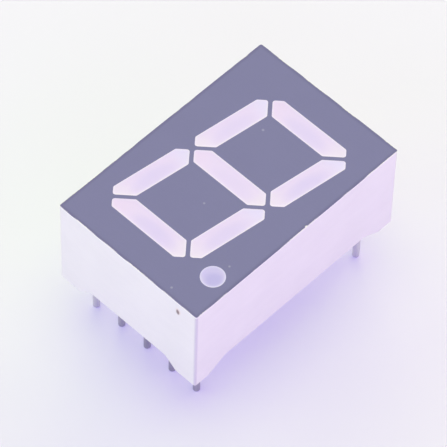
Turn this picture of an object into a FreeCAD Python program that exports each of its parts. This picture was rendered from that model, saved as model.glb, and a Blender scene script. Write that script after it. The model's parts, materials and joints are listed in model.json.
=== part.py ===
import FreeCAD, Part
import math
import os

from FreeCAD import Vector

# A single-digit seven-segment display, 0.56 inch digit, through-hole, in millimetres.
# X runs to the digit's right, Y to its top and Z out of its face.
# X and Y are 0 at the middle of the body. Z is 0 at the tips of the pins, on which it stands.

# Pins: two rows of five on a 2.54 grid. The rest of the display is laid out from them
pin_radius = 0.25
pin_pitch = 2.54
pin_row_gap = 15.24
pins_in_row = 5
pin_reach = 4.1
shank_lead = 0.05
stop_width = 0.72
stop_thickness = 0.32
stop_bevel = 0.08
hole_clearance = 0.04
tail_height = 0.35
solder_radius = 0.42
solder_rim = 0.04
solder_height = 0.28
trough_clearance = 0.1

# Moulded reflector body: how far its outside stands from the outer pins, and its walls
pin_to_side = 1.22
pin_to_end = 1.88
body_height = 8.0
edge_radius = 0.15
side_wall = 0.5
end_wall = 0.8
wall_draft = 1.0
ink_thickness = 0.03

# The walls stand on four corner feet and are cut back between them
relief_height = 0.8
side_foot = 1.3
side_foot_slope = 1.5
end_foot = 1.8
end_foot_slope = 1.0

# The digit fits inside the pins. It slants from upright, and streets part its windows
pin_to_digit_end = 0.51
pin_to_digit_side = 1.06
slant = 8.0
stroke = 1.52
street = 0.30
corner_cut = 0.16
window_round = 0.18
corner_flats = 4

# The decimal point: its middle from the last pin, and how far it drops below the digit
pin_to_dot = 0.31
dot_diameter = 1.70
dot_drop = 0.18

# Light wells narrow from the windows down to these openings over the chips
opening_width = 1.0
opening_reach = 1.3
opening_round = 0.12
dot_opening = 1.0

# The resin stands this far inside the feet, and the circuit board and its copper above it
resin_recess = 1.215
resin_cover = 0.55
board_thickness = 1.0
board_gap = 0.1
foil_thickness = 0.035
foil_margin = 0.08
track_width = 0.4
pad_radius = 0.45
land_width = 0.7
land_near = 0.15
land_far = 1.05
dot_land_width = 0.44
dot_land_edge = 0.07
spine_x = 0.55

# Two moulded posts that locate the board
post_radius = 0.4
post_to_side = 1.4
post_y = 1.6
post_clearance = 0.05
post_end = 0.25

# Light-emitting chips and their wires
chip_width = 0.3
chip_height = 0.2
chip_offset = 0.4
bond_offset = 0.4
dot_chip_offset = 0.18
dot_bond_offset = 0.27
wire_width = 0.03
wire_rise = 0.08
wire_loop = 0.2
ball_radius = 0.05
ball_height = 0.03
stitch_length = 0.08

# The round pieces sealed inside are drawn with this many flats
sealed_flats = 8

# Sizes that follow from those above
row_length = (pins_in_row - 1) * pin_pitch
body_width = row_length + 2 * pin_to_side
body_length = pin_row_gap + 2 * pin_to_end
digit_width = row_length - 2 * pin_to_digit_side
digit_height = pin_row_gap - 2 * pin_to_digit_end
hole_radius = pin_radius + hole_clearance
trough_half = solder_radius + trough_clearance

# Heights that follow
seat_z = pin_reach
resin_z = seat_z + resin_recess
board_bottom_z = resin_z + resin_cover
board_top_z = board_bottom_z + board_thickness
copper_z = board_top_z + foil_thickness
face_z = seat_z + body_height

# Places that follow
lean = math.radians(slant)
row_line = (digit_height - stroke) / 2
column_line = (digit_width - stroke) / 2
dot_x = row_length / 2 - pin_to_dot
dot_y = (dot_diameter - digit_height) / 2 - dot_drop
post_x = body_width / 2 - post_to_side
rising = (90.0 - slant) / 2
falling = rising + 90.0
upright = 90.0 - slant


# A direction's share along another counts as none below this
aside = 0.01


def unit(angle):
    """The unit vector at an angle in degrees from +X."""
    return Vector(math.cos(math.radians(angle)), math.sin(math.radians(angle)), 0)


def digit_point(across, up):
    """A point on the slanted digit: its distance right of the slanted middle line, and its height."""
    return Vector(across / math.cos(lean) + up * math.tan(lean), up, 0)


def turned(point):
    """The same point after half a turn about the middle of the body."""
    return Vector(-point.x, -point.y, point.z)


def at_height(point, z):
    return Vector(point.x, point.y, z)


def block(low, high):
    return Part.makeBox(high.x - low.x, high.y - low.y, high.z - low.z, low)


def flat_face(ring):
    """The flat face inside a ring of points."""
    return Part.Face(Part.makePolygon(ring + ring[:1]))


def frustum(lower, upper):
    """The solid with flat walls between two rings of as many points, one above the other."""
    walls = [flat_face([lower[i - 1], lower[i], upper[i], upper[i - 1]]) for i in range(len(lower))]
    return Part.Solid(Part.Shell(walls + [flat_face(lower), flat_face(upper)]))


def body_block(low_z, high_z):
    """A slice of the body's outside, with its upright edges rounded."""
    half = Vector(body_width / 2, body_length / 2, 0)
    solid = block(at_height(-half, low_z), at_height(half, high_z))
    upright_edges = [e for e in solid.Edges if abs(e.tangentAt(e.FirstParameter).z) > 1 - aside]
    return solid.makeFillet(edge_radius, upright_edges)


def rectangle(half_x, half_y, z):
    return [Vector(sx * half_x, sy * half_y, z) for sx, sy in ((-1, -1), (1, -1), (1, 1), (-1, 1))]


def cavity_half(z):
    """Half the width and length of the hollow under the reflector at height z."""
    draft = (z - seat_z) * math.tan(math.radians(wall_draft))
    return body_width / 2 - side_wall - draft, body_length / 2 - end_wall - draft


def cavity_block(low_z, high_z):
    """A slice of the hollow, which narrows upwards for the mould."""
    return frustum(rectangle(*cavity_half(low_z), low_z), rectangle(*cavity_half(high_z), high_z))


def side(angle, point, gap=0.0):
    """A straight side, as the angle of its outward normal and its distance from the middle."""
    return angle, unit(angle).dot(point) - gap


def crossing(first, second):
    """The point where two sides meet."""
    a, b = unit(first[0]), unit(second[0])
    turn = a.x * b.y - a.y * b.x
    return Vector((first[1] * b.y - second[1] * a.y) / turn, (second[1] * a.x - first[1] * b.x) / turn, 0)


def outline(sides, radius, z):
    """The ring of points inside the sides at height z, each corner rounded in short flats."""
    points = []
    for i, (angle, distance) in enumerate(sides):
        last_angle, last_distance = sides[i - 1]
        centre = crossing((last_angle, last_distance - radius), (angle, distance - radius))
        turn = (angle - last_angle) % 360.0
        for step in range(corner_flats + 1):
            normal = unit(last_angle + turn * step / corner_flats)
            points.append(at_height(centre + normal * radius, z))
    return points


# The places where the streets and corner cuts meet
top_left = digit_point(-column_line - corner_cut, row_line + corner_cut)
top_right = digit_point(column_line + corner_cut, row_line + corner_cut)
mid_left = digit_point(-column_line - corner_cut, 0)
mid_right = digit_point(column_line + corner_cut, 0)


class Window:
    """One lit shape: its middle, the way from its chip to its bond, and its sides in turn."""

    def __init__(self, middle, way, sides):
        self.middle = middle
        self.way = way
        self.back = way + 180.0
        self.sides = sides

    def half_turn(self):
        sides = [(angle + 180.0, distance) for angle, distance in self.sides]
        return Window(turned(self.middle), self.back, sides)

    def opening_sides(self):
        """The sides of the opening over the chip, parallel to the window's own."""
        along = unit(self.way)
        sides = []
        for angle, _ in self.sides:
            normal = unit(angle)
            slope = abs(normal.dot(along))
            reach = opening_width / 2 if slope < aside else opening_reach * slope
            sides.append((angle, normal.dot(self.middle) + reach))
        return sides

    def well(self):
        """The light well: flat drafted walls between the opening and the window."""
        opening = outline(self.opening_sides(), opening_round, copper_z)
        window = outline(self.sides, window_round, face_z)
        return frustum(opening, window)


half_street = street / 2
middle_a = digit_point(0, row_line)
middle_b = digit_point(column_line, row_line / 2)
middle_f = digit_point(-column_line, row_line / 2)

window_a = Window(
    middle_a,
    180.0,
    [
        side(rising, top_right),
        side(90.0, middle_a, -stroke / 2),
        side(falling, top_left),
        side(falling + 90.0, top_left, half_street),
        side(270.0, middle_a, -stroke / 2),
        side(rising + 270.0, top_right, half_street),
    ],
)
window_b = Window(
    middle_b,
    upright + 180.0,
    [
        side(rising, top_right),
        side(falling, top_right, half_street),
        side(upright + 90.0, middle_b, -stroke / 2),
        side(rising + 180.0, mid_right, half_street),
        side(falling + 180.0, mid_right, half_street),
        side(upright + 270.0, middle_b, -stroke / 2),
    ],
)
window_f = Window(
    middle_f,
    upright + 180.0,
    [
        side(rising, top_left, half_street),
        side(falling, top_left),
        side(upright + 90.0, middle_f, -stroke / 2),
        side(rising + 180.0, mid_left, half_street),
        side(falling + 180.0, mid_left, half_street),
        side(upright + 270.0, middle_f, -stroke / 2),
    ],
)
window_g = Window(
    Vector(0, 0, 0),
    0.0,
    [
        side(rising, mid_right, half_street),
        side(90.0, Vector(0, stroke / 2, 0)),
        side(falling, mid_left, half_street),
        side(falling + 90.0, mid_left, half_street),
        side(270.0, Vector(0, -stroke / 2, 0)),
        side(rising + 270.0, mid_right, half_street),
    ],
)
windows = {
    "a": window_a,
    "b": window_b,
    "c": window_f.half_turn(),
    "d": window_a.half_turn(),
    "e": window_b.half_turn(),
    "f": window_f,
    "g": window_g,
}
dot_middle = Vector(dot_x, dot_y, 0)
dot_way = 90.0
dot_back = dot_way + 180.0


def dot_well():
    """The round light well of the decimal point."""
    return Part.makeCone(dot_opening / 2, dot_diameter / 2, face_z - copper_z, at_height(dot_middle, copper_z))


def pin_places():
    """The pins' numbers and places: 1 to 5 along the bottom row, 6 to 10 back along the top row."""
    places = {}
    for i in range(pins_in_row):
        x = (i - (pins_in_row - 1) / 2) * pin_pitch
        places[i + 1] = Vector(x, -pin_row_gap / 2, 0)
        places[2 * pins_in_row - i] = Vector(x, pin_row_gap / 2, 0)
    return places


pins = pin_places()
posts = [Vector(post_x, post_y, 0), Vector(-post_x, -post_y, 0)]


def sealed_ring(place, radius, z):
    """The ring of points round a sealed piece at height z."""
    step = 360.0 / sealed_flats
    return [at_height(place + unit(step * (i + 0.5)) * radius, z) for i in range(sealed_flats)]


def sealed_rod(place, radius, low_z, high_z):
    """An upright rod, or a hole for one, sealed inside the display."""
    return flat_face(sealed_ring(place, radius, low_z)).extrude(Vector(0, 0, high_z - low_z))


def relief_cuts():
    """The notches between the feet: one right across the side walls and one across the end walls."""
    beyond = 1.0
    half_y = body_length / 2 - side_foot
    half_x = body_width / 2 - end_foot
    low, high = seat_z, seat_z + relief_height

    def notch(half_low, half_high, place):
        points = [place(-half_low, low - beyond), place(-half_low, low), place(-half_high, high)]
        points += [place(half_high, high), place(half_low, low), place(half_low, low - beyond)]
        return flat_face(points)

    across = notch(half_y, half_y - side_foot_slope, lambda y, z: Vector(-body_width, y, z))
    along = notch(half_x, half_x - end_foot_slope, lambda x, z: Vector(x, -body_length, z))
    return [across.extrude(Vector(2 * body_width, 0, 0)), along.extrude(Vector(0, 2 * body_length, 0))]


def solder_troughs():
    """The two troughs in the underside of the face that clear the pins' solder."""
    half = Vector(row_length / 2 + trough_half, trough_half, 0)
    trough_z = copper_z + tail_height + trough_clearance
    rows = [Vector(0, pin_row_gap / 2, 0), Vector(0, -pin_row_gap / 2, 0)]
    return [block(at_height(row - half, copper_z), at_height(row + half, trough_z)) for row in rows]


def housing(wells):
    """The white reflector: walls and feet below, a thick face pierced by the light wells above."""
    ink_z = face_z - ink_thickness
    solid = body_block(seat_z, ink_z).cut(cavity_block(seat_z, copper_z))
    for cut in relief_cuts():
        solid = solid.cut(cut)
    for place in posts:
        solid = solid.fuse(sealed_rod(place, post_radius, board_bottom_z - post_end, copper_z))
    return solid.cut(wells + solder_troughs()).removeSplitter()


def face_ink(wells):
    """The thin grey print over the face, open at each window."""
    return body_block(face_z - ink_thickness, face_z).cut(wells)


def pin_stop(place):
    """The stretch of a pin that is pressed flat above the seat, for the board to sit on."""
    half_x, half_y = stop_width / 2, stop_thickness / 2
    corners = [
        (half_x - stop_bevel, -half_y),
        (half_x, -half_y + stop_bevel),
        (half_x, half_y - stop_bevel),
        (half_x - stop_bevel, half_y),
    ]
    corners += [(-x, -y) for x, y in corners]
    low_z = seat_z + shank_lead
    points = [at_height(place, low_z) + Vector(x, y, 0) for x, y in corners]
    return flat_face(points).extrude(Vector(0, 0, board_bottom_z - low_z))


def pin_tail(place):
    return sealed_rod(place, pin_radius, board_bottom_z, copper_z + tail_height)


def pin(place):
    """A pin of round wire: its shank, its stop and the tail that is soldered through the board."""
    shank = Part.makeCylinder(pin_radius, seat_z + shank_lead, place)
    return shank.fuse([pin_stop(place), pin_tail(place)]).removeSplitter()


def solder_joint(place):
    """The cone of solder between a pin's tail and its pad."""
    foot = sealed_ring(place, solder_radius, copper_z)
    neck = sealed_ring(place, pin_radius + solder_rim, copper_z + solder_height)
    return frustum(foot, neck).cut(pin_tail(place))


def board_half(margin=0.0):
    """Half the board's width and length, less a margin."""
    half_x, half_y = cavity_half(board_top_z)
    return Vector(half_x - board_gap - margin, half_y - board_gap - margin, 0)


def board_blank():
    return block(at_height(-board_half(), board_bottom_z), at_height(board_half(), board_top_z))


def pin_drills(high_z):
    return [sealed_rod(place, hole_radius, board_bottom_z, high_z) for place in pins.values()]


def circuit_board():
    """The board, drilled for the pins and the posts."""
    post_hole = post_radius + post_clearance
    post_drills = [sealed_rod(place, post_hole, board_bottom_z, board_top_z) for place in posts]
    return board_blank().cut(pin_drills(board_top_z) + post_drills)


def strip(route, width, facing):
    """The outline of a strip along a route, its bends mitred, in the plane that the facing is square to."""
    left, right = [], []
    for i, point in enumerate(route):
        before = (point - route[i - 1]).normalize() if i else None
        after = (route[i + 1] - point).normalize() if i < len(route) - 1 else None
        heading = ((before or after) + (after or before)).normalize()
        across = facing.cross(heading)
        reach = width / 2 / heading.dot(before or after)
        left.append(point + across * reach)
        right.append(point - across * reach)
    return left + right[::-1]


def foil(points):
    """Copper foil with a straight-sided outline."""
    return flat_face([at_height(p, board_top_z) for p in points]).extrude(Vector(0, 0, foil_thickness))


def track(route):
    return foil(strip(route, track_width, Vector(0, 0, 1)))


def land(middle, way, near, far, width):
    """A rectangle of copper that starts and ends at these distances from a middle point."""
    along = unit(way)
    across = unit(way + 90.0) * (width / 2)
    start, end = middle + along * near, middle + along * far
    return foil([start - across, end - across, end + across, start + across])


def chip_land(window):
    return land(window.middle, window.back, land_near, land_far, land_width)


def bond_land(window):
    return land(window.middle, window.way, land_near, land_far, land_width)


def land_middle(window, way):
    return window.middle + unit(way) * ((land_near + land_far) / 2)


def copper_tracks():
    """The etched circuit: one net for each window's chip, and the common net that every wire bonds to."""

    def chip_end(name):
        return land_middle(windows[name], windows[name].back)

    def bond_end(name):
        return land_middle(windows[name], windows[name].way)

    edge_x = pins[5].x
    bend_y = pins[6].y - pin_pitch
    routes = {
        "a": [pins[7], chip_end("a")],
        "b": [pins[6], Vector(edge_x, bend_y, 0), chip_end("b")],
        "f": [pins[9], chip_end("f")],
        "g": [pins[10], Vector(-edge_x, post_y, 0), Vector(post_radius - post_x, 0, 0), chip_end("g")],
    }
    for upper, lower in (("a", "d"), ("b", "e"), ("f", "c")):
        routes[lower] = [turned(p) for p in routes[upper]]
    homes = {"a": 7, "b": 6, "c": 4, "d": 2, "e": 1, "f": 9, "g": 10}
    nets = []
    for name, route in routes.items():
        pieces = [chip_land(windows[name]), pad(pins[homes[name]])]
        nets.append(track(route).fuse(pieces))

    dot_chip_reach = dot_chip_offset + chip_width / 2 + dot_land_edge
    dot_net = track([pins[5], dot_middle - Vector(0, dot_chip_offset, 0)])
    dot_chip_land = land(dot_middle, dot_back, 0.0, dot_chip_reach, dot_land_width)
    nets.append(dot_net.fuse([dot_chip_land, pad(pins[5])]))

    bond_y = bond_end("b").y
    spine = [pins[8], bond_end("a"), Vector(spine_x, middle_a.y - 2 * stroke, 0)]
    spine += [Vector(spine_x, -stroke, 0), Vector(-spine_x, -bond_y, 0)]
    spine += [turned(spine[2]), bond_end("d"), pins[3]]
    upper_branch = [bond_end("f"), bond_end("b")]
    lower_branch = [bond_end("e"), Vector(dot_x, -bond_y, 0), dot_middle + Vector(0, dot_bond_offset, 0)]
    dot_bond_land = land(dot_middle, dot_way, dot_bond_offset / 2, dot_opening / 2, dot_land_width)
    common = [track(upper_branch), track(lower_branch), dot_bond_land, pad(pins[8]), pad(pins[3])]
    common += [bond_land(window) for window in windows.values()]
    nets.append(track(spine).fuse(common))

    low, high = at_height(-board_half(foil_margin), board_top_z), at_height(board_half(foil_margin), copper_z)
    etched = [net.common(block(low, high)).cut(pin_drills(copper_z)) for net in nets]
    return Part.makeCompound([net.removeSplitter() for net in etched])


def pad(place):
    return sealed_rod(place, pad_radius, board_top_z, copper_z)


def chip(middle, way, offset):
    """A light-emitting chip on its land, square to the window."""
    half = Vector(chip_width / 2, chip_width / 2, 0)
    solid = block(-half, at_height(half, chip_height))
    solid.rotate(Vector(0, 0, 0), Vector(0, 0, 1), way)
    solid.translate(at_height(middle - unit(way) * offset, copper_z))
    return solid


def bond_wire(middle, way, from_offset, to_offset):
    """The wire that loops from the ball on top of a chip to the stitch on the common land."""
    start = Vector(-from_offset, 0, chip_height)
    end = Vector(to_offset, 0, wire_width / 2)
    crown = Vector((start.x * 2 + end.x) / 3, 0, chip_height + wire_loop)
    route = [start, start + Vector(0, 0, wire_rise), crown, end - Vector(stitch_length, 0, 0), end]
    width = Vector(0, wire_width, 0)
    points = [point - width / 2 for point in strip(route, wire_width, Vector(0, 1, 0))]
    wire = flat_face(points).extrude(width)
    ball = sealed_rod(at_height(start, 0), ball_radius, chip_height, chip_height + ball_height)
    solid = wire.fuse(ball).removeSplitter()
    solid.rotate(Vector(0, 0, 0), Vector(0, 0, 1), way)
    solid.translate(at_height(middle, copper_z))
    return solid


def potting_resin():
    """The resin poured over the back of the board, level between the walls."""
    solid = cavity_block(resin_z, board_top_z).cut(board_blank())
    post_ends = [sealed_rod(place, post_radius, board_bottom_z - post_end, board_bottom_z) for place in posts]
    return solid.cut([pin_stop(place) for place in pins.values()] + post_ends)


def sub_parts():
    """Every piece of the display, by name."""
    wells = {name: window.well() for name, window in windows.items()}
    pieces = {
        "housing": housing(list(wells.values()) + [dot_well()]),
        "face_ink": face_ink(list(wells.values()) + [dot_well()]),
        "circuit_board": circuit_board(),
        "copper_tracks": copper_tracks(),
        "potting_resin": potting_resin(),
    }
    for name, window in windows.items():
        die = chip(window.middle, window.way, chip_offset)
        wire = bond_wire(window.middle, window.way, chip_offset, bond_offset)
        pieces["segment_" + name] = wells[name].cut([die, wire])
        pieces["led_chip_" + name] = die
        pieces["bond_wire_" + name] = wire
    die = chip(dot_middle, dot_way, dot_chip_offset)
    wire = bond_wire(dot_middle, dot_way, dot_chip_offset, dot_bond_offset)
    pieces["decimal_point"] = dot_well().cut([die, wire])
    pieces["led_chip_dp"] = die
    pieces["bond_wire_dp"] = wire
    for number, place in pins.items():
        pieces["pin_%d" % number] = pin(place)
        pieces["solder_joint_%d" % number] = solder_joint(place)
    return pieces


os.makedirs("parts", exist_ok=True)
for name, shape in sub_parts().items():
    shape.exportStep("parts/%s.step" % name)
    print("%-18s solids %d valid %s volume %.4f" % (name, len(shape.Solids), shape.isValid(), shape.Volume))
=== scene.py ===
# %% [markdown]
# # A seven-segment LED display on a light table
# The display's pieces come from a imported CAD model at their real size: a white moulded body, a grey print
# over its face, milky resin in eight light wells, and ten tinned pins. This lesson gives each of them the
# surface that the real one has, sets them on a pale table and looks at them from the photographer's side.
#
# The first step loads that model as a frame. Its size is printed now, and again at the end.

import json
import math

import bmesh
import bpy
from mathutils import Matrix, Vector


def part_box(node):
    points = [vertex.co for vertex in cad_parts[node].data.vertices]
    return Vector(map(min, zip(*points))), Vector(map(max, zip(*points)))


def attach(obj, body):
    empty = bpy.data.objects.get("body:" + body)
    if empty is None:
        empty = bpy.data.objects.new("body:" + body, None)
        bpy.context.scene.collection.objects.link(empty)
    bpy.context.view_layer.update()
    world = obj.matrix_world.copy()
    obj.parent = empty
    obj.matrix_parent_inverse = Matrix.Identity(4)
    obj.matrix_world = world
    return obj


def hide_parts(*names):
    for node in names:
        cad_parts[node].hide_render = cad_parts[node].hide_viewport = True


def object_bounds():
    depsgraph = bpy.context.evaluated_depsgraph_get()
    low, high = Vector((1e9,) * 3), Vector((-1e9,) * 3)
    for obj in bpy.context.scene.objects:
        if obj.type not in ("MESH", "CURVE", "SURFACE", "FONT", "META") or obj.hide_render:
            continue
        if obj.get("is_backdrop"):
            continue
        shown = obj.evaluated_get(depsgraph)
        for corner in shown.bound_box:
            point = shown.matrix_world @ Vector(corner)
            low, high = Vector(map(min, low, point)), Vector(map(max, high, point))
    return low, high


mm = 0.001


def in_mm(lengths):
    """Lengths in metres as rounded millimetres, for printing."""
    return [round(length / mm, 2) for length in lengths]


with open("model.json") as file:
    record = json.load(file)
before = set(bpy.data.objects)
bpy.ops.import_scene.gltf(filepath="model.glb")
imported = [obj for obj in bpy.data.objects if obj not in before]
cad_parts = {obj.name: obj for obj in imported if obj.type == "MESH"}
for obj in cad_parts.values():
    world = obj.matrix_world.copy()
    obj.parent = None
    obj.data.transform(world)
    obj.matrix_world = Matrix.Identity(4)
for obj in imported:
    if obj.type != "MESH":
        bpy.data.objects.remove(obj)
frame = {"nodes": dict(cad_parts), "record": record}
cad_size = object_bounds()
print("nodes", len(frame["nodes"]), "box in mm", [in_mm(corner) for corner in cad_size])

# %% [markdown]
# ## Sizes and slots that the lesson reads from the frame
# Nothing here repeats a size of the model. The heights of the face and the seat, and half of the body's
# width and length, come from the boxes of the pieces that have them. The model's record also says which
# slot each piece belongs to, and a slot is a kind of finish.

# %% Heights, half sizes and slots
body_low, body_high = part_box("housing")
ink_low, ink_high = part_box("face_ink")
seat_z = body_low.z
ink_z = ink_low.z
face_z = ink_high.z
half_width = body_high.x
half_length = body_high.y
slots = {row["node"]: row["material_slot"] for row in frame["record"]["subparts"]}
print("heights of the seat and the face in mm", in_mm((seat_z, face_z)))

# %% [markdown]
# ## A small language for materials
# A material is a sum: noise times a strength, plus a stain, minus a scratch. Written as nodes, that sum
# takes many lines, so one class wraps a socket and lets Python's own signs build the Math nodes.

# %% The class that wraps a socket
class Wire:
    """An output of a node. Arithmetic on it adds Math nodes to its material."""

    def __init__(self, finish, socket):
        self.finish = finish
        self.socket = socket

    def maths(self, operation, *values):
        return self.finish.node("ShaderNodeMath", {"operation": operation}, dict(enumerate(values)))

    def __add__(self, other):
        return self.maths("ADD", self, other)

    def __radd__(self, other):
        return self.maths("ADD", other, self)

    def __sub__(self, other):
        return self.maths("SUBTRACT", self, other)

    def __rsub__(self, other):
        return self.maths("SUBTRACT", other, self)

    def __mul__(self, other):
        return self.maths("MULTIPLY", self, other)

    def __rmul__(self, other):
        return self.maths("MULTIPLY", other, self)

    def __truediv__(self, other):
        return self.maths("DIVIDE", self, other)

    def __rtruediv__(self, other):
        return self.maths("DIVIDE", other, self)

    def __abs__(self):
        return self.maths("ABSOLUTE", self)


print("signs that a wire takes: + - * / and abs()")

# %% [markdown]
# The second class is the material itself, built round one Principled shader. What is the same all over
# the surface is set on the shader's own sockets. One method makes any other node: its settings are set
# first, and then each of its inputs gets a number or a wire. The place of a point is its place in the
# model, in metres.

# %% The class that holds a material
class Finish:
    """A procedural material round one Principled shader."""

    def __init__(self, name, constants):
        self.material = bpy.data.materials.new(name)
        self.material.use_nodes = True
        self.tree = self.material.node_tree
        self.shader = self.tree.nodes["Principled BSDF"]
        for socket, value in constants.items():
            self.shader.inputs[socket].default_value = value
        self.place = self.node("ShaderNodeTexCoord", {}, {}, "Object")

    def node(self, kind, settings, sockets, output=0):
        made = self.tree.nodes.new(kind)
        for key, value in settings.items():
            setattr(made, key, value)
        for key, value in sockets.items():
            self.feed(made.inputs[key], value)
        return Wire(self, made.outputs[output])

    def feed(self, socket, value):
        if isinstance(value, Wire):
            self.tree.links.new(value.socket, socket)
        else:
            socket.default_value = value

    def drive(self, sockets):
        """Feed inputs of the Principled shader."""
        for key, value in sockets.items():
            self.feed(self.shader.inputs[key], value)


print("a finish starts with one shader and the place of each point")

# %% [markdown]
# Some nodes come back in every finish: noise with grains of a given size, a soft step, and a blend of two
# colours. They are functions on a finish. Vectors go through Vector Math nodes and colours through Mix
# nodes, because a Math node would turn them into one number. The last function feeds what every finish
# here drives: the colour, the roughness and a bump. Grains and bumps are in millimetres, as one would
# measure them.

# %% Grains, steps, blends and bumps
def vectors(finish, operation, *values, output=0):
    """A Vector Math node with these values in its sockets."""
    return finish.node("ShaderNodeVectorMath", {"operation": operation}, dict(enumerate(values)), output)


def grain(finish, size_mm, detail=2.0, stretch=(1, 1, 1), distortion=0.0):
    """Noise from 0 to 1 whose grains are about this size, finer along an axis with a stretch below 1."""
    scale = [1 / (mm * size_mm * s) for s in stretch]
    point = vectors(finish, "MULTIPLY", finish.place, scale)
    inputs = {"Vector": point, "Scale": 1.0, "Detail": detail, "Roughness": 0.5, "Distortion": distortion}
    return finish.node("ShaderNodeTexNoise", {}, inputs)


def step(finish, value, low, high):
    """0 below low, 1 above high, and a soft slope between."""
    settings = {"interpolation_type": "SMOOTHSTEP"}
    return finish.node("ShaderNodeMapRange", settings, {"Value": value, "From Min": low, "From Max": high})


def blend(finish, mask, first, second):
    """The first colour where the mask is 0 and the second where it is 1."""
    settings = {"data_type": "RGBA", "blend_type": "MIX"}
    return finish.node("ShaderNodeMix", settings, {"Factor": mask, 6: first, 7: second}, 2)


def surfaced(finish, tone, roughness, height, depth_mm, strength):
    """The material, once its colour, its roughness and a bump of this height are fed."""
    inputs = {"Height": height, "Distance": depth_mm * mm, "Strength": strength}
    relief = finish.node("ShaderNodeBump", {}, inputs)
    finish.drive({"Base Color": tone, "Roughness": roughness, "Normal": relief})
    return finish.material


print("helpers for noise, masks, colours and bumps are ready")

# %% [markdown]
# A mark that lies somewhere on the object needs a distance. One function measures along a direction, and
# the other makes a soft spot round a point.

# %% Distances along a direction and round a point
def along(finish, direction, middle=(0, 0, 0)):
    """How far a point lies from the middle along a direction, in metres."""
    offset = vectors(finish, "SUBTRACT", finish.place, middle)
    return vectors(finish, "DOT_PRODUCT", offset, direction, output="Value")


def near(finish, point, radius, squeeze=(1, 1, 1), full_share=0.35):
    """1 at a point of the model and 0 from this radius on. A squeeze above 1 narrows it along an axis."""
    offset = vectors(finish, "SUBTRACT", finish.place, point)
    squeezed = vectors(finish, "MULTIPLY", offset, squeeze)
    gap = vectors(finish, "LENGTH", squeezed, output="Value")
    return 1 - step(finish, gap, radius * full_share, radius)


print("helpers for distances are ready")

# %% [markdown]
# ## Putting a finish on pieces
# A finish goes on all the pieces that take it in one call. It is also kept by their names, because some
# pieces are replaced by finer ones further down, and a finer piece takes the finish of the one that it
# stands for.

# %% Dress pieces
dressing = {}


def nodes_in(slot):
    return [node for node in slots if slots[node] == slot]


def dress(nodes, material):
    """Put a finish on these pieces and keep it by their names."""
    for node in nodes:
        materials = frame["nodes"][node].data.materials
        materials.clear()
        materials.append(material)
        dressing[node] = material
    print(material.name, "has", len(material.node_tree.nodes), "nodes. Pieces that take it:", len(nodes))


print("pieces that wait for a finish", len(slots))

# %% [markdown]
# ## The camera
# The picture was taken from more than ten times the display's length away, with a long lens, so the
# body's edges stay almost parallel. The camera's place was solved from the corners of the face and the
# tips of the pins. Here it is written the way a photographer would say it: how far round, how far up, how
# far away, and how much the camera is tipped.

# %% Where the camera stands
camera_round = math.radians(42.728)
camera_up = math.radians(54.434)
camera_tip = math.radians(1.947)
camera_gap = 265.54 * mm
aim = Vector((2.30 * mm, -2.93 * mm, face_z))

flat = math.cos(camera_up)
back = Vector((math.sin(camera_round) * flat, -math.cos(camera_round) * flat, math.sin(camera_up)))
level = Vector((math.cos(camera_round), math.sin(camera_round), 0))
right = level * math.cos(camera_tip) + back.cross(level) * math.sin(camera_tip)
upward = back.cross(right)
camera_place = aim + back * camera_gap
print("camera at", in_mm(camera_place), "mm")

# %% [markdown]
# The lens is given by how many pixels of the picture one focal length is. A sensor as wide as a film
# frame turns that into the millimetres that Blender asks for.

# %% Set the camera
focal_pixels = 4073.73
picture_pixels = 447
sensor_width = 36.0
nearest_seen = 10 * mm


def added(name, data):
    """A new object of the scene that shows this data."""
    thing = bpy.data.objects.new(name, data)
    bpy.context.scene.collection.objects.link(thing)
    return thing


lens = bpy.data.cameras.new("camera")
lens.sensor_width = sensor_width
lens.lens = focal_pixels / picture_pixels * sensor_width
lens.clip_start = nearest_seen
camera = added("camera", lens)
turned = Matrix((right, upward, back)).transposed().to_4x4()
camera.matrix_world = Matrix.Translation(camera_place) @ turned
bpy.context.scene.camera = camera
print("focal length", round(lens.lens, 1), "mm")

# %% [markdown]
# ## The light table
# The table in the picture is so bright that its shadows are never darker than a soft violet, and the
# shadow lies all round the display. A sheet of white acrylic with light under it does that. It glows
# violet by itself and takes the lamps' light on top. The sheet gives back less of the lamps' blue than of
# their red and green, and its own glow makes up for that. So where the display keeps the lamps' light
# off, blue is lost least, and the shadow turns violet.

# %% The table
table_light = (0.13, 0.11, 0.50, 1.0)
table_white = (0.7, 0.7, 0.45, 1.0)
table_reach = 1.5


def light_table():
    mesh = bpy.data.meshes.new("light_table")
    corners = [(x * table_reach, y * table_reach, 0) for x, y in ((-1, -1), (1, -1), (1, 1), (-1, 1))]
    mesh.from_pydata(corners, [], [(0, 1, 2, 3)])
    table = added("light_table", mesh)
    constants = {"Base Color": table_white, "Roughness": 0.9, "Specular IOR Level": 0.0}
    constants.update({"Emission Color": table_light, "Emission Strength": 1.0})
    mesh.materials.append(Finish("acrylic_sheet", constants).material)
    table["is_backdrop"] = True


light_table()
print("width of the table", 2 * table_reach, "m")

# %% [markdown]
# ## The sky and the lamps
# The lamps are a tent round the display: four pairs of wide ones in a low ring, one overhead and a pale
# sky between them. No lamp is strong and each is wide, so nothing throws a shadow with an edge. The pair
# behind the display is the strongest, and the near and right pairs are violet, which tints the two walls
# that the camera sees. The sky and the lamp overhead are yellowish and make up for that on what lies flat.
# Sun lamps are used, because they light a small thing and its table evenly. The Standard view keeps the
# colours as they are.

# %% The sky and the lamps
sky_light = (0.46, 0.46, 0.25, 1.0)
lamp_pairs = {
    "near": ((0, 45), (0.40, 0.36, 0.82)),
    "right": ((90, 135), (0.38, 0.18, 0.68)),
    "behind": ((180, 225), (0.90, 0.90, 0.75)),
    "left": ((270, 315), (0.50, 0.60, 0.52)),
}
top_lamp = (0.35, 0.50, 0.05)
ring_up = 25
lamp_width = 40


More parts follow.
